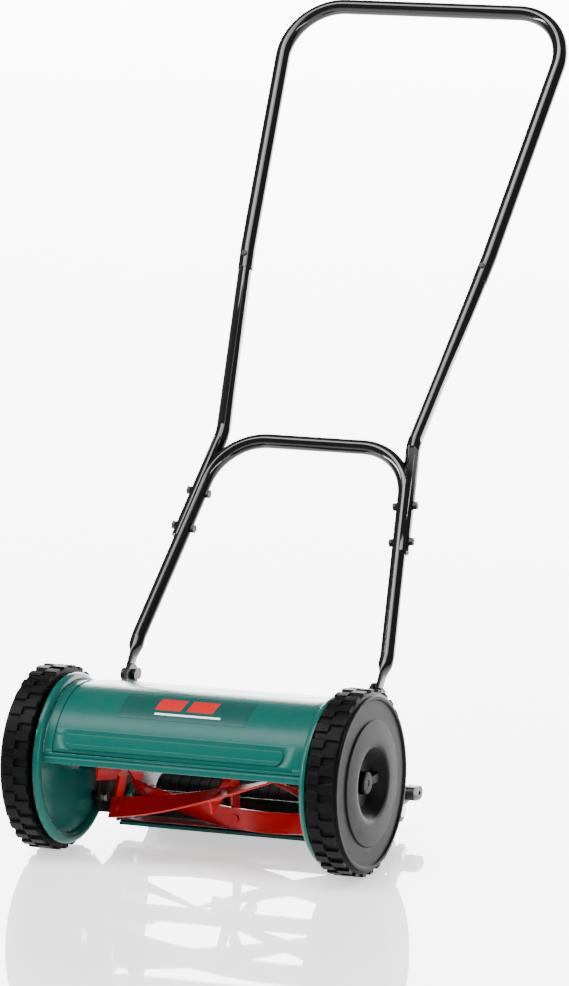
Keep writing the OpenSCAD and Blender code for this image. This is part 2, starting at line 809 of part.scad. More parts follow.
module roller_axle() {
    x_end = arm_x0 + arm_t;
    color(steel) at_axle() {
        x_bar(-x_end - 1, x_end + 1, roller_axle_r, roller_y, roller_z);
        for (side = [-1, 1]) on_side(side)
            x_bar(x_end, x_end + 3, roller_axle_r + 3, roller_y, roller_z);
    }
}

module roller() {
    body_r = roller_r - rib_h;
    dome = 16;
    rib_count = floor((roller_len - 2 * dome - 8) / rib_pitch);
    rib_x = -rib_count * rib_pitch / 2;
    color(black_plastic) at_axle() translate([0, roller_y, roller_z]) difference() {
        union() {
            x_bar(-roller_half + dome, roller_half - dome, body_r);
            for (side = [-1, 1]) on_side(side) {
                along_x(roller_half - dome) rotate_extrude() {
                    square([body_r - dome, dome]);
                    intersection() {
                        translate([body_r - dome, 0]) circle(dome);
                        square([body_r, dome]);
                    }
                }
            }
            for (i = [0 : rib_count])
                x_bar(rib_x + i * rib_pitch - 1.6, rib_x + i * rib_pitch + 1.6, roller_r);
        }
        x_bar(-roller_half - eps, roller_half + eps, roller_axle_r + run_fit);
        x_bar(-roller_half + 30, roller_half - 30, body_r - 4);
    }
}

// ---- handle ----

module lower_handle() {
    pts = [[-foot_x, foot_len - 6], [-foot_x, leg_bend_at], [-brace_x, brace_at],
        [brace_x, brace_at], [foot_x, leg_bend_at], [foot_x, foot_len - 6]];
    bends = [0, 40, brace_bend, brace_bend, 40, 0];
    color(black_paint) at_axle() in_handle() difference() {
        union() {
            bent_tube(pts, bends, tube_r, tube_wall);
            for (side = [-1, 1]) on_side(side) {
                x_bar(foot_x - foot_t / 2, foot_x + foot_t / 2, foot_w / 2);
                translate([foot_x - foot_t / 2, -foot_w / 2, 0])
                    cube([foot_t, foot_w, foot_len - 12]);
                foot_neck();
            }
        }
        for (side = [-1, 1]) on_side(side)
            x_bar(foot_x - foot_t, foot_x + foot_t, pivot_r + run_fit);
        for (side = [-1, 1], s = joint_bolt_at) on_side(side)
            joint_bar(s, -20, 20, joint_bolt_r + hole_fit);
    }
}

// Where the round leg is squeezed down into its flat foot
module foot_neck() {
    hull() {
        translate([foot_x, 0, foot_len - 6]) cylinder(h = 1, r = tube_r, $fn = 32);
        translate([foot_x - foot_t / 2, -foot_w / 2, foot_len - 22]) cube([foot_t, foot_w, 1]);
    }
}

// Round bar across a leg at a distance s up the handle, square to the leg
module joint_bar(s, from, to, r) {
    translate([leg_x(s), 0, s]) rotate([0, -atan(leg_splay), 0])
        translate([from, 0, 0]) rotate([0, 90, 0]) cylinder(h = to - from, r = r);
}

module joint_hex(s, from, to, r) {
    translate([leg_x(s), 0, s]) rotate([0, -atan(leg_splay), 0])
        translate([from, 0, 0]) rotate([0, 90, 0]) cylinder(h = to - from, r = r, $fn = 6);
}

module middle_tube(side) {
    nest_low = [nest_x(nest_end_at), nest_end_at];
    nest_high = [nest_x(nest_bend_at), nest_bend_at];
    sleeve = [sleeve_x, sleeve_at];
    brace_pts = [[foot_x, foot_len], [foot_x, leg_bend_at], [brace_x, brace_at], [-brace_x, brace_at]];
    color(black_paint) at_axle() on_side(side) in_handle() {
        difference() {
            bent_bar([nest_low, nest_high, sleeve], [0, 60, 0], tube_r);
            difference() {
                bent_bar([nest_low, nest_high, sleeve + [0, 1]], [0, 60, 0], tube_r - tube_wall);
                translate([0, -20, 0]) cube([300, 40, nest_bend_at - 18]);
            }
            bent_bar(brace_pts, [0, 40, brace_bend, 0], tube_r + part_gap);
            for (s = joint_bolt_at) joint_bar(s, -20, 20, joint_bolt_r + hole_fit);
        }
        // reduced end that slides into the top loop
        rise = [top_bend_x - sleeve_x, top_bend_at - sleeve_at];
        end = sleeve + unit(rise) * (top_bend_at - sleeve_at - 8);
        difference() {
            bent_tube([sleeve - unit(rise) * 2, end], [0, 0], insert_r, tube_wall);
            screw_bar(-20, 20, 2 + hole_fit);
        }
    }
}

// Screw line through the sleeve joint, square to the handle's plane
module screw_bar(from, to, r) {
    x = sleeve_x + mid_splay * (screw_at - sleeve_at);
    translate([x, from, screw_at]) rotate([-90, 0, 0]) cylinder(h = to - from, r = r);
}

module upper_handle() {
    low = [sleeve_x, sleeve_at];
    bend = [top_bend_x, top_bend_at];
    top = [grip_top_x, handle_len];
    flip = [[-1, 0], [0, 1]];
    pts = [flip * low, flip * bend, flip * top, top, bend, low];
    bends = [0, 80, grip_bend, grip_bend, 80, 0];
    color(black_paint) at_axle() in_handle() difference() {
        bent_tube(pts, bends, grip_r, tube_wall);
        for (side = [-1, 1]) on_side(side) screw_bar(-20, 20, 2 + hole_fit);
    }
}

module joint_bolts() {
    inner = -tube_r - 0.2;
    outer = nest_offset + tube_r;
    color(dark_steel) at_axle() in_handle() for (side = [-1, 1], s = joint_bolt_at)
        on_side(side) {
            joint_bar(s, inner - 1, outer + 5.5, joint_bolt_r);
            joint_hex(s, inner - 4, inner, 5.6);
        }
}

module joint_nuts() {
    outer = nest_offset + tube_r + 0.2;
    color(dark_steel) at_axle() in_handle() for (side = [-1, 1], s = joint_bolt_at)
        on_side(side) difference() {
            joint_hex(s, outer, outer + 4.5, 5.6);
            joint_bar(s, outer - 1, outer + 6, joint_bolt_r);
        }
}

module sleeve_screws() {
    color(dark_steel) at_axle() in_handle() for (side = [-1, 1]) on_side(side) {
        screw_bar(-grip_r - 1, grip_r + 1, 2);
        screw_bar(-grip_r - 2, -grip_r, 3.6);
        screw_bar(grip_r, grip_r + 2, 3.6);
    }
}

module pivot_bolts() {
    x_out = foot_x + foot_t / 2 + 0.5;
    color(dark_steel) at_axle() for (side = [-1, 1]) on_side(side) {
        x_bar(frame_in_x - 5, x_out + 0.5, pivot_r, pivot_y, pivot_z);
        x_bar(x_out, x_out + 4, 8, pivot_y, pivot_z);
        x_hex(frame_in_x - 5, frame_in_x, 7.5, pivot_y, pivot_z);
    }
}

// ---- what is drawn ----

side_disc(-1);  // side_disc_left
side_disc(1);  // side_disc_right
cover();
label_panel();
side_frame(-1);  // side_frame_left
side_frame(1);  // side_frame_right
frame_bolts();
frame_nuts();
stub_axle(-1);  // stub_axle_left
stub_axle(1);  // stub_axle_right
axle_nuts();
wheel_clips();
reel_bush(-1);  // reel_bush_left
reel_bush(1);  // reel_bush_right
knife_carrier();
bed_knife();
knife_screws();
carrier_bolts();
arm_bolts();
pivot_bolts();
wheel(-1);  // wheel_left
ring_gear(-1);  // ring_gear_left
hub_cap(-1);  // hub_cap_left
wheel(1);  // wheel_right
ring_gear(1);  // ring_gear_right
hub_cap(1);  // hub_cap_right
reel_shaft();
spider(0);  // spider_left
spider(1);  // spider_middle
spider(2);  // spider_right
blade(0);  // blade_1
blade(1);  // blade_2
blade(2);  // blade_3
blade(3);  // blade_4
blade(4);  // blade_5
blade_rivets();
pinion(-1);  // pinion_left
pinion(1);  // pinion_right
roller_arm(-1);  // roller_arm_left
roller_arm(1);  // roller_arm_right
roller_axle();
roller();
lower_handle();
middle_tube(-1);  // middle_tube_left
middle_tube(1);  // middle_tube_right
upper_handle();
joint_bolts();
joint_nuts();
sleeve_screws();
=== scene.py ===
import json
import math
import bpy
import bmesh
from mathutils import Matrix, Vector


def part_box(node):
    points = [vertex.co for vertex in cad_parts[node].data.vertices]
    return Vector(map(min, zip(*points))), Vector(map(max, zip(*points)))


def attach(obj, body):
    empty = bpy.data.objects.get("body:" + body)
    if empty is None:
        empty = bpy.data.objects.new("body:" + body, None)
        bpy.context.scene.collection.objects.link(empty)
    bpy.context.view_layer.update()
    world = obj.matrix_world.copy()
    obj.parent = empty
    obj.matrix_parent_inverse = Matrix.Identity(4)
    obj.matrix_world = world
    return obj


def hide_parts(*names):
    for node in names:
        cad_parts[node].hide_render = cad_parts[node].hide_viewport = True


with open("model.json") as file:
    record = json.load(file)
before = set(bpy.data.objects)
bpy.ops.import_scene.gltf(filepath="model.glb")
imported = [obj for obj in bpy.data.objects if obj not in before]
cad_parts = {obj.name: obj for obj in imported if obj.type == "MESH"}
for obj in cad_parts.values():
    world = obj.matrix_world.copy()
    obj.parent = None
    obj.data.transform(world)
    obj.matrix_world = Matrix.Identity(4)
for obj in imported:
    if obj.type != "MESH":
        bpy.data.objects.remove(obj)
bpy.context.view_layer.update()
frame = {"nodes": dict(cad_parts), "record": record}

MM = 0.001
BODY_OF = {n: b for b, group in frame["record"]["behaviour"]["bodies"].items() for n in group}
SLOT_OF = {s["node"]: s["material_slot"] for s in frame["record"]["subparts"]}


def middle(node):
    low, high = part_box(node)
    return (Vector(low) + Vector(high)) / 2


AXLE = middle("stub_axle_right")
REEL = middle("reel_shaft")
PIVOT = middle("pivot_bolts")
AXLE_CENTRE = Vector((0, AXLE.y, AXLE.z))
LEAN = math.radians(38)


# ---------------------------------------------------------------- finishes

def new_group(name, inputs, outputs):
    group = bpy.data.node_groups.new(name, "ShaderNodeTree")
    for socket, value in inputs:
        made = group.interface.new_socket(socket, in_out="INPUT", socket_type="NodeSocketFloat")
        made.default_value = value
    for socket in outputs:
        group.interface.new_socket(socket, in_out="OUTPUT", socket_type="NodeSocketFloat")
    return group, group.nodes.new("NodeGroupInput"), group.nodes.new("NodeGroupOutput")


def node_of(tree, kind, **settings):
    made = tree.nodes.new(kind)
    for key, value in settings.items():
        setattr(made, key, value)
    return made


def math_of(tree, operation, first, second=None, clamp=False):
    """A Math node fed by sockets or plain numbers."""
    made = node_of(tree, "ShaderNodeMath", operation=operation, use_clamp=clamp)
    for index, value in enumerate((first, second)):
        if value is None:
            continue
        if isinstance(value, (int, float)):
            made.inputs[index].default_value = value
        else:
            tree.links.new(value, made.inputs[index])
    return made.outputs[0]


def noise_of(tree, vector, scale, detail=3.0):
    made = node_of(tree, "ShaderNodeTexNoise", noise_dimensions="3D")
    made.inputs["Detail"].default_value = detail
    tree.links.new(vector, made.inputs["Vector"])
    if isinstance(scale, (int, float)):
        made.inputs["Scale"].default_value = scale
    else:
        tree.links.new(scale, made.inputs["Scale"])
    return made.outputs["Fac"]


def build_mottle():
    """Broad tone changes and a fine grain, both from the piece's own place."""
    tree, come, go = new_group("mottle", [("Broad Scale", 9.0), ("Grain Scale", 900.0)], ["Broad", "Grain"])
    place = node_of(tree, "ShaderNodeTexCoord").outputs["Object"]
    tree.links.new(noise_of(tree, place, come.outputs["Broad Scale"], 4.0), go.inputs["Broad"])
    tree.links.new(noise_of(tree, place, come.outputs["Grain Scale"], 2.0), go.inputs["Grain"])
    return tree


def build_dust():
    """Fine dust that settles on faces that look up."""
    tree, come, go = new_group("settled_dust", [("Amount", 0.1)], ["Mask"])
    place = node_of(tree, "ShaderNodeTexCoord").outputs["Object"]
    facing = node_of(tree, "ShaderNodeNewGeometry").outputs["Normal"]
    split = node_of(tree, "ShaderNodeSeparateXYZ")
    tree.links.new(facing, split.inputs[0])
    upward = math_of(tree, "MULTIPLY_ADD", split.outputs["Z"], 0.5)
    upward.node.inputs[2].default_value = 0.5
    soft = math_of(tree, "POWER", upward, 2.0)
    patch = noise_of(tree, place, 46.0, 6.0)
    both = math_of(tree, "MULTIPLY", soft, patch)
    tree.links.new(math_of(tree, "MULTIPLY", both, come.outputs["Amount"], clamp=True), go.inputs["Mask"])
    return tree


def build_scuff():
    """Thin worn streaks, as handling leaves on a hard finish."""
    tree, come, go = new_group("scuffs", [("Amount", 0.3), ("Scale", 60.0)], ["Mask"])
    place = node_of(tree, "ShaderNodeTexCoord").outputs["Object"]
    stretch = node_of(tree, "ShaderNodeMapping")
    stretch.inputs["Scale"].default_value = (0.35, 1.0, 1.0)
    tree.links.new(place, stretch.inputs["Vector"])
    lines = noise_of(tree, stretch.outputs[0], come.outputs["Scale"], 8.0)
    narrow = node_of(tree, "ShaderNodeMapRange")
    narrow.inputs["From Min"].default_value = 0.60
    narrow.inputs["From Max"].default_value = 0.74
    tree.links.new(lines, narrow.inputs["Value"])
    tree.links.new(math_of(tree, "MULTIPLY", narrow.outputs[0], come.outputs["Amount"]), go.inputs["Mask"])
    return tree


MOTTLE, DUST, SCUFF = build_mottle(), build_dust(), build_scuff()
DUST_TONE = (0.42, 0.40, 0.36)
SCUFF_ROUGHENS = 0.5
GRAIN_DEPTH = 0.4


def placed_group(tree, group, **values):
    made = node_of(tree, "ShaderNodeGroup", node_tree=group)
    for key, value in values.items():
        made.inputs[key.replace("_", " ")].default_value = value
    return made


def mixed(tree, factor, first, second):
    made = node_of(tree, "ShaderNodeMix", data_type="RGBA")
    tree.links.new(factor, made.inputs[0])
    for index, value in ((6, first), (7, second)):
        if isinstance(value, tuple):
            made.inputs[index].default_value = (*value, 1.0)
        else:
            tree.links.new(value, made.inputs[index])
    return made.outputs[2]


def finish_of(name, tones, rough, metallic=0.0, coat=0.0, coat_rough=0.05, broad=9.0, grain=900.0,
              bump=0.03, dust=0.1, scuff=0.2, shine=0.5, pattern=None):
    """A painted, moulded or metal finish: two near tones, grain, light dust and scuffs."""
    material = bpy.data.materials.new(name)
    material.use_nodes = True
    tree = material.node_tree
    shader = tree.nodes["Principled BSDF"]
    shader.inputs["Metallic"].default_value = metallic
    shader.inputs["Specular IOR Level"].default_value = shine
    shader.inputs["Coat Weight"].default_value = coat
    shader.inputs["Coat Roughness"].default_value = coat_rough
    mottle = placed_group(tree, MOTTLE, Broad_Scale=broad, Grain_Scale=grain)
    colour = mixed(tree, mottle.outputs["Broad"], tones[0], tones[1])
    if pattern:
        colour = pattern(tree, colour)
    settled = placed_group(tree, DUST, Amount=dust)
    colour = mixed(tree, settled.outputs["Mask"], colour, DUST_TONE)
    tree.links.new(colour, shader.inputs["Base Color"])
    worn = placed_group(tree, SCUFF, Amount=scuff)
    spread = node_of(tree, "ShaderNodeMapRange")
    spread.inputs["To Min"].default_value = rough[0]
    spread.inputs["To Max"].default_value = rough[1]
    tree.links.new(mottle.outputs["Broad"], spread.inputs["Value"])
    rougher = math_of(tree, "MULTIPLY", worn.outputs["Mask"], SCUFF_ROUGHENS)
    total = math_of(tree, "ADD", spread.outputs[0], rougher, clamp=True)
    tree.links.new(total, shader.inputs["Roughness"])
    raised = node_of(tree, "ShaderNodeBump")
    raised.inputs["Strength"].default_value = bump
    raised.inputs["Distance"].default_value = GRAIN_DEPTH * MM
    tree.links.new(mottle.outputs["Grain"], raised.inputs["Height"])
    tree.links.new(raised.outputs[0], shader.inputs["Normal"])
    return material


def label_bars(tree, ground):
    """Plain slanted bars across the label: two red ones and a thin white one below."""
    place = node_of(tree, "ShaderNodeTexCoord").outputs["Object"]
    split = node_of(tree, "ShaderNodeSeparateXYZ")
    tree.links.new(place, split.inputs[0])
    across, height = split.outputs["X"], split.outputs["Z"]
    lean = math_of(tree, "ADD", across, math_of(tree, "MULTIPLY", height, BAR_SLANT))

    def between(value, low, high):
        return math_of(tree, "MULTIPLY", math_of(tree, "GREATER_THAN", value, low),
                       math_of(tree, "LESS_THAN", value, high))
    colour = ground
    for low, high, left, right, tone in LABEL_BARS:
        mask = math_of(tree, "MULTIPLY", between(height, low, high), between(lean, left, right))
        colour = mixed(tree, mask, colour, tone)
    return colour


LABEL_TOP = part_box("label_panel")[1][2]
LABEL_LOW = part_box("label_panel")[0][2]
LABEL_TALL = LABEL_TOP - LABEL_LOW
BAR_SLANT = -0.35
BAR_MIDDLE = BAR_SLANT * (LABEL_TOP + LABEL_LOW) / 2
BAR_RED, BAR_WHITE = (0.42, 0.002, 0.004), (0.80, 0.82, 0.80)
RED_LOW, RED_HIGH = LABEL_TOP - 0.52 * LABEL_TALL, LABEL_TOP - 0.10 * LABEL_TALL
WHITE_LOW, WHITE_HIGH = LABEL_TOP - 0.74 * LABEL_TALL, LABEL_TOP - 0.66 * LABEL_TALL
LABEL_BARS = [
    (RED_LOW, RED_HIGH, BAR_MIDDLE - 0.040, BAR_MIDDLE - 0.006, BAR_RED),
    (RED_LOW, RED_HIGH, BAR_MIDDLE + 0.002, BAR_MIDDLE + 0.036, BAR_RED),
    (WHITE_LOW, WHITE_HIGH, BAR_MIDDLE - 0.036, BAR_MIDDLE + 0.050, BAR_WHITE),
]

FINISHES = {
    "green_paint": finish_of(
        "green_enamel", [(0.000, 0.060, 0.050), (0.000, 0.068, 0.056)], (0.22, 0.28),
        coat_rough=0.06, grain=260.0, bump=0.04, dust=0.02, scuff=0.05, shine=0.14),
    "label_print": finish_of(
        "label_film", [(0.000, 0.042, 0.036), (0.000, 0.046, 0.040)], (0.22, 0.28),
        grain=400.0, bump=0.03, dust=0.02, scuff=0.04, shine=0.3, pattern=label_bars),
    "red_paint": finish_of(
        "red_enamel", [(0.40, 0.002, 0.004), (0.46, 0.003, 0.005)], (0.28, 0.38),
        coat=0.08, coat_rough=0.08, grain=300.0, bump=0.05, dust=0.01, scuff=0.08, shine=0.2),
    "black_paint": finish_of(
        "black_powder_coat", [(0.005, 0.005, 0.005), (0.008, 0.008, 0.008)], (0.32, 0.42),
        grain=1400.0, bump=0.12, dust=0.01, scuff=0.15, shine=0.25),
    "tube_paint": finish_of(
        "black_tube_enamel", [(0.002, 0.002, 0.002), (0.004, 0.004, 0.004)], (0.08, 0.12),
        grain=300.0, bump=0.02, dust=0.005, scuff=0.05, shine=0.4),
    "black_plastic": finish_of(
        "black_moulded_plastic", [(0.0016, 0.0018, 0.0018), (0.0026, 0.003, 0.003)], (0.38, 0.48),
        grain=1700.0, bump=0.12, dust=0.01, scuff=0.12, shine=0.05),
    "knife_steel": finish_of(
        "ground_steel", [(0.44, 0.44, 0.45), (0.56, 0.56, 0.56)], (0.22, 0.38),
        metallic=1.0, broad=40.0, grain=1200.0, bump=0.10, dust=0.04, scuff=0.5),
    "gear_iron": finish_of(
        "oiled_iron", [(0.11, 0.11, 0.115), (0.17, 0.165, 0.16)], (0.30, 0.46),
        metallic=0.9, broad=60.0, grain=700.0, bump=0.2, dust=0.05, scuff=0.3),
    "zinc": finish_of(
        "zinc_plate", [(0.50, 0.50, 0.48), (0.60, 0.59, 0.55)], (0.24, 0.38),
        metallic=1.0, broad=90.0, grain=900.0, bump=0.08, dust=0.05, scuff=0.3),
}


# ---------------------------------------------------------------- pieces

def make_piece(bm, name, *nodes, soften=0.4, crease=35):
    """Turns a bmesh into a shown piece that stands for CAD nodes and rides with them."""
    mesh = bpy.data.meshes.new(name)
    bm.to_mesh(mesh)
    bm.free()
    for face in mesh.polygons:
        face.use_smooth = True
    mesh.set_sharp_from_angle(angle=math.radians(crease))
    piece = bpy.data.objects.new(name, mesh)
    bpy.context.scene.collection.objects.link(piece)
    mesh.materials.append(FINISHES[SLOT_OF[nodes[0]]])
    if soften:
        edge = piece.modifiers.new("softened_edges", "BEVEL")
        edge.width = soften * MM
        edge.segments = 2
        edge.limit_method = "ANGLE"
        edge.angle_limit = math.radians(crease)
        edge.harden_normals = True
    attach(piece, BODY_OF[nodes[0]])
    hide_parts(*nodes)
    return piece


WELD_AT = 2e-6
FLAT_WITHIN = 0.4


def welded(node, soften=0.4, crease=35):
    """The CAD node's own shape with its triangles joined and its edges softened."""
    bm = bmesh.new()
    bm.from_mesh(frame["nodes"][node].data)
    bmesh.ops.remove_doubles(bm, verts=bm.verts, dist=WELD_AT)
    bmesh.ops.dissolve_limit(bm, angle_limit=math.radians(FLAT_WITHIN), verts=bm.verts, edges=bm.edges)
    return make_piece(bm, "fine_" + node, node, soften=soften, crease=crease)


BLADES = 5
FIRST_BLADE_TURN, BLADE_TWIST = -28, -86


def blade(index, node):
    """One blade: a flat strip screwed round the reel's axis in a single spin."""
    reach, width, thick, half, steps = 73 * MM, 26 * MM, 3 * MM, 150 * MM, 60
    start = math.radians(FIRST_BLADE_TURN + 360 / BLADES * index)
    out = Vector((0, math.sin(start), -math.cos(start)))
    side = Vector((0, math.cos(start), math.sin(start)))
    centre = Vector((0, REEL.y, REEL.z))
    bm = bmesh.new()
    corners = [(reach, -0.5), (reach, 0.5), (reach - width, 0.5), (reach - width, -0.5)]
    ends = [bm.verts.new(centre + Vector((-half, 0, 0)) + out * r + side * thick * t) for r, t in corners]
    first = bm.faces.new(ends)
    bmesh.ops.spin(bm, geom=[first, *first.edges, *first.verts], cent=centre, axis=(1, 0, 0),
                   dvec=(2 * half / steps, 0, 0), angle=math.radians(BLADE_TWIST), steps=steps,
                   use_merge=False)
    bmesh.ops.remove_doubles(bm, verts=bm.verts, dist=1e-6)
    inner = [f for f in bm.faces if len(f.verts) == 4 and f is not first and abs(f.normal.x) > 0.999
             and abs(f.calc_center_median().x) < half - 1 * MM]
    bmesh.ops.delete(bm, geom=inner, context="FACES")
    bmesh.ops.recalc_face_normals(bm, faces=bm.faces)
    return make_piece(bm, "fine_" + node, node, soften=0.35, crease=40)


def tube_start(bm, place, heading, radius, sides=40):
    """A ring of edges square to its heading, ready to be pushed along."""
    made = bmesh.ops.create_circle(bm, cap_ends=False, radius=radius, segments=sides)
    turn = Vector((0, 0, 1)).rotation_difference(heading).to_matrix().to_4x4()
    bmesh.ops.transform(bm, matrix=Matrix.Translation(place) @ turn, verts=made["verts"])
    return list({e for v in made["verts"] for e in v.link_edges})


def push(bm, ring, step):
    out = bmesh.ops.extrude_edge_only(bm, edges=ring)["geom"]
    bmesh.ops.translate(bm, vec=step, verts=[g for g in out if isinstance(g, bmesh.types.BMVert)])
    return [g for g in out if isinstance(g, bmesh.types.BMEdge) and all(v in out for v in g.verts)
            and len(g.link_faces) == 1]


def swing(bm, ring, centre, angle, steps):
    """Bends the tube's end ring round a centre in the handle's plane."""
    last = bmesh.ops.spin(bm, geom=ring, cent=centre, axis=(0, 1, 0), angle=angle, steps=steps,
                          use_merge=False)["geom_last"]
    return [g for g in last if isinstance(g, bmesh.types.BMEdge)]


def run_tube(bm, points, bends, radius, sides=40):
    """Sweeps a ring along a bent line: straights are pushed and bends are spun."""
    points = [Vector(p) for p in points]
    ring = tube_start(bm, points[0], (points[1] - points[0]).normalized(), radius, sides)
    first = ring
    at = points[0]
    for index in range(1, len(points)):
        ahead = (points[index] - points[index - 1]).normalized()
        if index == len(points) - 1:
            ring = push(bm, ring, points[index] - at)
            break
        after = (points[index + 1] - points[index]).normalized()
        turn = ahead.angle(after)
        sense = 1 if ahead.cross(after).y > 0 else -1
        back = bends[index] * math.tan(turn / 2)
        entry = points[index] - ahead * back
        ring = push(bm, ring, entry - at)
        inward = after - ahead
        inward.normalize()
        centre = points[index] + inward * (bends[index] / math.cos(turn / 2))
        ring = swing(bm, ring, centre, sense * turn, max(3, round(math.degrees(turn) / 4)))
        at = points[index] + after * back
    return first, ring


def into_handle(bm):
    """Leans a drawing made upright at the pivot into the handle's plane."""
    place = Matrix.Translation((0, PIVOT.y, PIVOT.z)) @ Matrix.Rotation(-LEAN, 4, "X")
    bmesh.ops.transform(bm, matrix=place, verts=bm.verts)


FOOT_X, FOOT_T, FOOT_W = 166.8, 4.6, 21.0
TUBE_R, TOP_TUBE_R = 9.0, 9.5
LEG_BEND, SPLAY = 51.0, 0.147
BRACE_AT = 331.0
BRACE_X = FOOT_X - SPLAY * (BRACE_AT - LEG_BEND)
KNEE_AT, KNEE_OUT, MIDDLE_SPLAY = 338.0, 4.2, 0.133
SLEEVE_AT = 570.0
SLEEVE_X = FOOT_X - SPLAY * (KNEE_AT - LEG_BEND) + KNEE_OUT + MIDDLE_SPLAY * (SLEEVE_AT - KNEE_AT)
TOP_BEND = 602.0
TOP_BEND_X = SLEEVE_X + MIDDLE_SPLAY * (TOP_BEND - SLEEVE_AT)
TOP_AT, TOP_SPLAY = 957.0, 0.0906
TOP_X = TOP_BEND_X + TOP_SPLAY * (TOP_AT - TOP_BEND)
FOOT_FROM = 40.0
MOUTH_ROLL, MOUTH_SHRINK, MOUTH_DEPTH = 0.3, 0.95, 9.0
BORE_SHARE = 0.885


def lower_handle():
    """The lower loop: a bent tube whose ends are squeezed into flat feet."""
    bm = bmesh.new()
    half = [(FOOT_X, FOOT_FROM), (FOOT_X, LEG_BEND), (BRACE_X, BRACE_AT)]
    line = [(-x * MM, 0, z * MM) for x, z in half] + [(x * MM, 0, z * MM) for x, z in reversed(half)]
    first, last = run_tube(bm, line, [0, 40 * MM, 72 * MM, 72 * MM, 40 * MM, 0], TUBE_R * MM)
    squeeze = [(-4, 0.86, 1.04), (-4, 0.62, 1.10), (-4, 0.40, 1.14), (-4, 0.28, FOOT_W / 18),
               (-10, FOOT_T / 18, FOOT_W / 18), (-14, FOOT_T / 18, FOOT_W / 18)]
    for z in (-3.5, -6.5, -8.6, -9.9, -10.45):
        squeeze.append((None, FOOT_T / 18, math.sqrt(10.5 ** 2 - z ** 2) / 9, z))
    for ring, x in ((first, -FOOT_X), (last, FOOT_X)):
        at, thin, wide = FOOT_FROM, 1.0, 1.0
        for entry in squeeze:
            to = at + entry[0] if entry[0] is not None else entry[3]
            ring = push(bm, ring, Vector((0, 0, (to - at) * MM)))
            verts = list({v for e in ring for v in e.verts})
            centre = Matrix.Translation((-x * MM, 0, -to * MM))
            bmesh.ops.scale(bm, vec=(entry[1] / thin, entry[2] / wide, 1.0), space=centre, verts=verts)
            at, thin, wide = to, entry[1], entry[2]
        bmesh.ops.holes_fill(bm, edges=ring, sides=0)
    into_handle(bm)
    bmesh.ops.recalc_face_normals(bm, faces=bm.faces)
    return make_piece(bm, "fine_lower_handle", "lower_handle", soften=0, crease=50)


def upper_handle():
    """The top loop, with its wall turned in at both open ends."""
    bm = bmesh.new()
    half = [(SLEEVE_X, SLEEVE_AT), (TOP_BEND_X, TOP_BEND), (TOP_X, TOP_AT)]
    line = [(-x * MM, 0, z * MM) for x, z in half] + [(x * MM, 0, z * MM) for x, z in reversed(half)]
    first, last = run_tube(bm, line, [0, 80 * MM, 70 * MM, 70 * MM, 80 * MM, 0], TOP_TUBE_R * MM, 44)
    for ring, x in ((first, -1), (last, 1)):
        along = Vector((x * MIDDLE_SPLAY, 0, 1)).normalized()
        centre = Vector((x * SLEEVE_X * MM, 0, SLEEVE_AT * MM))
        turned_in = ((-MOUTH_ROLL, MOUTH_SHRINK), (MOUTH_ROLL, BORE_SHARE / MOUTH_SHRINK), (MOUTH_DEPTH, 1.0))
        for out, shrink in turned_in:
            ring = push(bm, ring, along * out * MM)
            verts = list({v for e in ring for v in e.verts})
            bmesh.ops.scale(bm, vec=(shrink,) * 3, space=Matrix.Translation(-centre), verts=verts)
    into_handle(bm)
    bmesh.ops.recalc_face_normals(bm, faces=bm.faces)
    return make_piece(bm, "fine_upper_handle", "upper_handle", soften=0, crease=50)


WHEEL_WALL = [
    (8.05, 185), (14, 185), (14, 201.5), (27, 201.5), (40.5, 217.5), (75, 217), (103, 214.5), (103, 183),
    (108.5, 183), (108.5, 199.35), (108.5, 199.65), (108.5, 216), (105, 217.4), (105, 219.5), (103.8, 220.7),
    (100.2, 220.7), (98.7, 218.5), (76.4, 218.9), (75, 221.0), (62, 222.0), (50, 222.5), (46, 222.3),
    (43.4, 221.2), (39.6, 217), (35.6, 212), (31.6, 207.3), (29.2, 205.2), (26.5, 204.5), (8.05, 204.5),
]
BLOCKS, PARTS = 32, 6
TREAD_FLOOR_R, TREAD_TOP_R = 108.5, 112
TREAD_FROM, TREAD_MIDDLE, TREAD_TO = 183, 199.5, 216


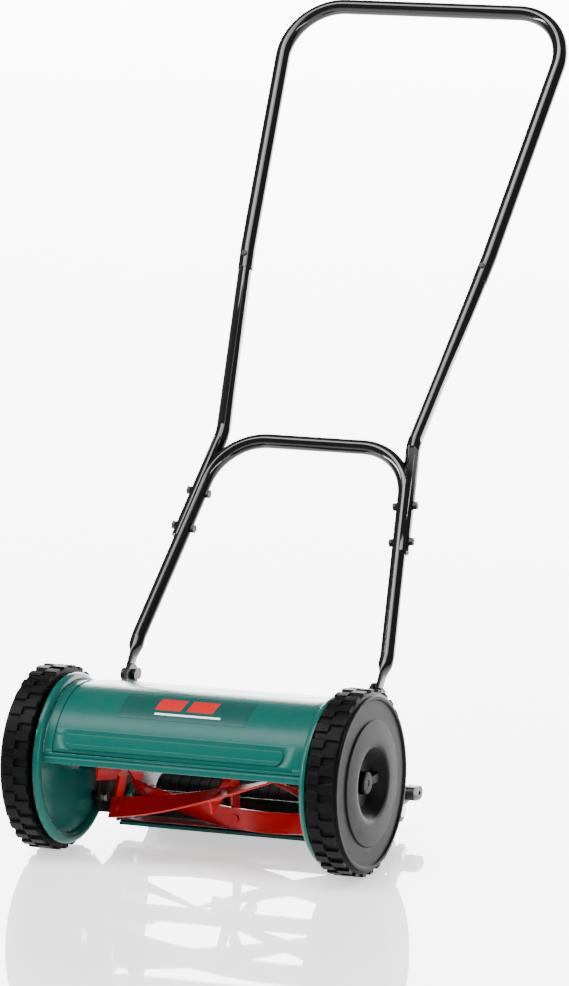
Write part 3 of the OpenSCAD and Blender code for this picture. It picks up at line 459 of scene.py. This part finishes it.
def wheel(side, node):
    """A moulded wheel: one wall spun round the axle, with two staggered rows of raised tread blocks."""
    bm = bmesh.new()
    centre = AXLE_CENTRE
    ring = [bm.verts.new(centre + Vector((x * MM, 0, r * MM))) for r, x in WHEEL_WALL]
    edges = [bm.edges.new((a, b)) for a, b in zip(ring, ring[1:] + ring[:1])]
    bmesh.ops.spin(bm, geom=edges + ring, cent=centre, axis=(1, 0, 0), angle=2 * math.pi,
                   steps=BLOCKS * PARTS, use_merge=True)
    bmesh.ops.recalc_face_normals(bm, faces=bm.faces)
    blocks = []
    for face in bm.faces:
        spot = face.calc_center_median() - centre
        inside = math.hypot(spot.y, spot.z) < (TREAD_FLOOR_R - 0.1) * MM
        if inside or not (TREAD_FROM + 0.5) * MM < spot.x < (TREAD_TO - 0.5) * MM:
            continue
        if abs(spot.x - TREAD_MIDDLE * MM) < 1 * MM:
            continue
        turn = math.atan2(spot.y, spot.z) / (2 * math.pi) * BLOCKS * PARTS
        part = (math.floor(turn) + (PARTS // 2 if spot.x > TREAD_MIDDLE * MM else 0)) % PARTS
        if part < PARTS // 2:
            blocks.append(face)
    raised = bmesh.ops.extrude_face_region(bm, geom=blocks)["geom"]
    grow = TREAD_TOP_R / TREAD_FLOOR_R
    bmesh.ops.scale(bm, vec=(1, grow, grow), space=Matrix.Translation(-centre),
                    verts=[g for g in raised if isinstance(g, bmesh.types.BMVert)])
    rib = bmesh.ops.create_cube(bm, size=1.0)["verts"]
    bmesh.ops.scale(bm, vec=(11 * MM, 25 * MM, 10 * MM), verts=rib)
    bmesh.ops.translate(bm, vec=centre + Vector((209.0 * MM, 27 * MM, 0)), verts=rib)
    if side < 0:
        bmesh.ops.scale(bm, vec=(-1, 1, 1), verts=bm.verts)
    bmesh.ops.recalc_face_normals(bm, faces=bm.faces)
    return make_piece(bm, "fine_" + node, node, soften=0.35, crease=24)


for index in range(BLADES):
    blade(index, f"blade_{index + 1}")
lower_handle()
upper_handle()
wheel(-1, "wheel_left")
wheel(1, "wheel_right")

SOFTENING = {
    "cover": (0.5, 30), "side_disc_left": (0.4, 30),
    "side_disc_right": (0.4, 30), "side_frame_left": (0.5, 35), "side_frame_right": (0.5, 35),
    "middle_tube_left": (0, 40), "middle_tube_right": (0, 40), "roller": (0.4, 38), "label_panel": (0, 40),
    "reel_shaft": (0.4, 40), "ring_gear_left": (0.2, 40), "ring_gear_right": (0.2, 40),
}
for node in frame["nodes"]:
    if frame["nodes"][node].hide_render:
        continue
    soften, crease = SOFTENING.get(node, (0.3, 38))
    welded(node, soften=soften, crease=crease)


# ---------------------------------------------------------------- studio

FLOOR_HALF = 14.0
FLOOR_GLOW = 1.2


def studio_floor():
    bm = bmesh.new()
    bmesh.ops.create_grid(bm, x_segments=1, y_segments=1, size=FLOOR_HALF)
    mesh = bpy.data.meshes.new("studio_floor")
    bm.to_mesh(mesh)
    bm.free()
    floor = bpy.data.objects.new("studio_floor", mesh)
    bpy.context.scene.collection.objects.link(floor)
    material = bpy.data.materials.new("pale_floor")
    material.use_nodes = True
    tree = material.node_tree
    shader = tree.nodes["Principled BSDF"]
    shader.inputs["Base Color"].default_value = (0.92, 0.92, 0.92, 1.0)
    shader.inputs["Coat Weight"].default_value = 1.0
    shader.inputs["Emission Color"].default_value = (1.0, 1.0, 1.0, 1.0)
    shader.inputs["Emission Strength"].default_value = FLOOR_GLOW
    shader.inputs["Coat Roughness"].default_value = 0.03
    place = node_of(tree, "ShaderNodeTexCoord").outputs["Object"]
    spread = node_of(tree, "ShaderNodeMapRange")
    spread.inputs["To Min"].default_value = 0.42
    spread.inputs["To Max"].default_value = 0.50
    tree.links.new(noise_of(tree, place, 3.0), spread.inputs["Value"])
    tree.links.new(spread.outputs[0], shader.inputs["Roughness"])
    mesh.materials.append(material)


def soft_light(name, place, aim, size, power):
    lamp = bpy.data.lights.new(name, "AREA")
    lamp.shape = "RECTANGLE"
    lamp.size, lamp.size_y = size
    lamp.energy = power
    holder = bpy.data.objects.new(name, lamp)
    holder.location = place
    holder.rotation_euler = (Vector(aim) - Vector(place)).to_track_quat("-Z", "Y").to_euler()
    bpy.context.scene.collection.objects.link(holder)


studio_floor()
soft_light("left_strip", (-2.4, -1.6, 1.5), (0, -0.1, 0.4), (0.22, 2.6), 130)
soft_light("right_strip", (2.6, -2.2, 1.3), (0, -0.1, 0.4), (0.22, 2.2), 70)
soft_light("high_panel", (0.3, -1.2, 3.4), (0, -0.1, 0.2), (1.6, 1.6), 70)
soft_light("back_panel", (0, 9.0, 2.1), (0, 0, 1.6), (14.0, 4.2), 2700)
sky = bpy.data.lights.new("even_sky", "SUN")
sky.energy = 3.0
sky.angle = math.radians(30)
sky_holder = bpy.data.objects.new("even_sky", sky)
sky_holder.rotation_euler = (math.radians(18), math.radians(-14), 0)
bpy.context.scene.collection.objects.link(sky_holder)
world = bpy.data.worlds.new("studio_air")
bpy.context.scene.world = world
world.use_nodes = True
world.node_tree.nodes["Background"].inputs["Color"].default_value = (1.0, 1.0, 1.0, 1.0)
world.node_tree.nodes["Background"].inputs["Strength"].default_value = 0.22


def studio_camera():
    """The camera stands to the front right, a little above the cover."""
    azimuth, elevation, roll = math.radians(24.46), math.radians(11.01), math.radians(1.06)
    ahead = Vector((-math.sin(azimuth) * math.cos(elevation), math.cos(azimuth) * math.cos(elevation),
                    -math.sin(elevation)))
    right = ahead.cross(Vector((0, 0, 1))).normalized()
    down = ahead.cross(right).normalized()
    image_right = right * math.cos(roll) + down * math.sin(roll)
    image_down = -right * math.sin(roll) + down * math.cos(roll)
    turned = Matrix((image_right, -image_down, -ahead)).transposed().to_4x4()
    lens = bpy.data.cameras.new("studio_camera")
    lens.lens = 249.8
    lens.sensor_width = 36
    lens.clip_end = 60
    camera = bpy.data.objects.new("studio_camera", lens)
    camera.matrix_world = Matrix.Translation(AXLE_CENTRE + Vector((3.4037, -7.2332, 1.8907))) @ turned
    bpy.context.scene.collection.objects.link(camera)
    bpy.context.scene.camera = camera


studio_camera()
